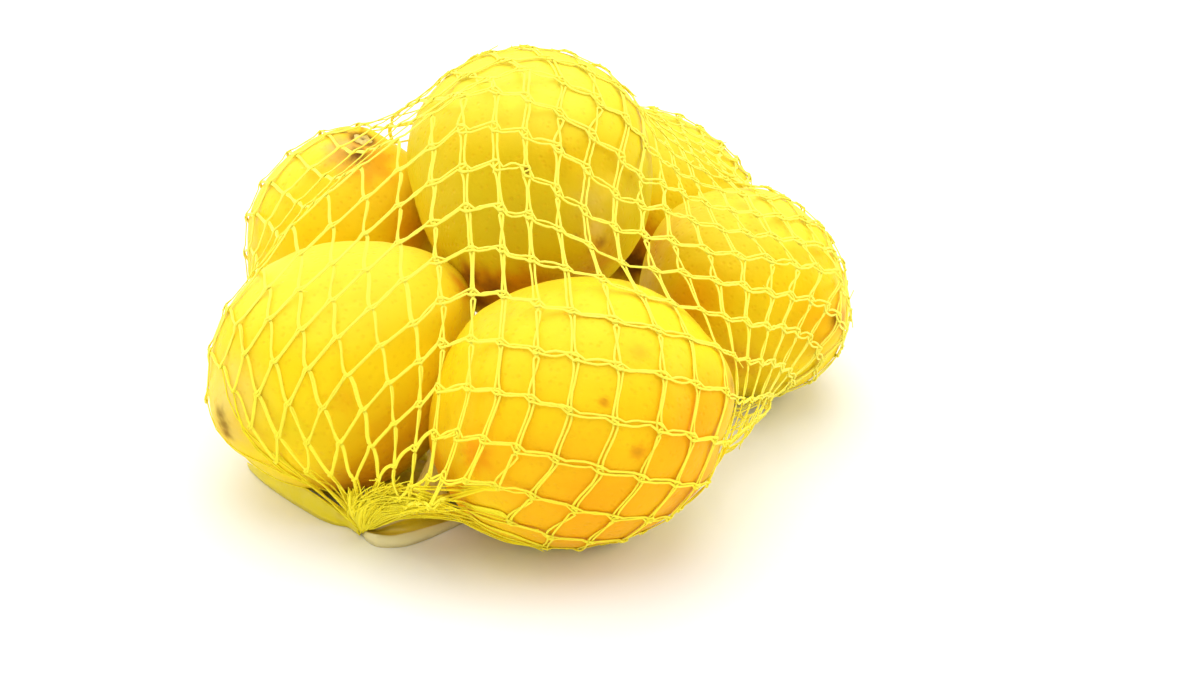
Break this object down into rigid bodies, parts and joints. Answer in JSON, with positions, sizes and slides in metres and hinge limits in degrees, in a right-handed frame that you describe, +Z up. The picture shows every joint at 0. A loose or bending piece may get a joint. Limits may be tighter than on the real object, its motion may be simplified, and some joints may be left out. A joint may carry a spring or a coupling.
{
  "type": "net of lemons",
  "caption": "Knitted yellow net bag packed tightly with whole lemons, gathered at both ends, lying on its side with a folded strip of plain label film at the front gather.",
  "frame": {"origin": "centre of the pack's bounding box at floor level", "axes": "+X to the pack's right seen from the front, +Y from the front to the back, +Z up"},
  "size_m": [0.149, 0.1656, 0.0885],
  "materials": {
    "net_yarn": "knitted polyethylene filament, lemon yellow, soft sheen",
    "lemon_peel": "waxy lemon peel with fine pores, yellow to golden orange, satin",
    "label_film": "thin plain clear film, whitish outside, yellow-green where the net shows through, glossy"
  },
  "bodies": {
    "root": {"net_bag": "net_yarn", "label_strip": "label_film"}
  },
  "joints": []
}
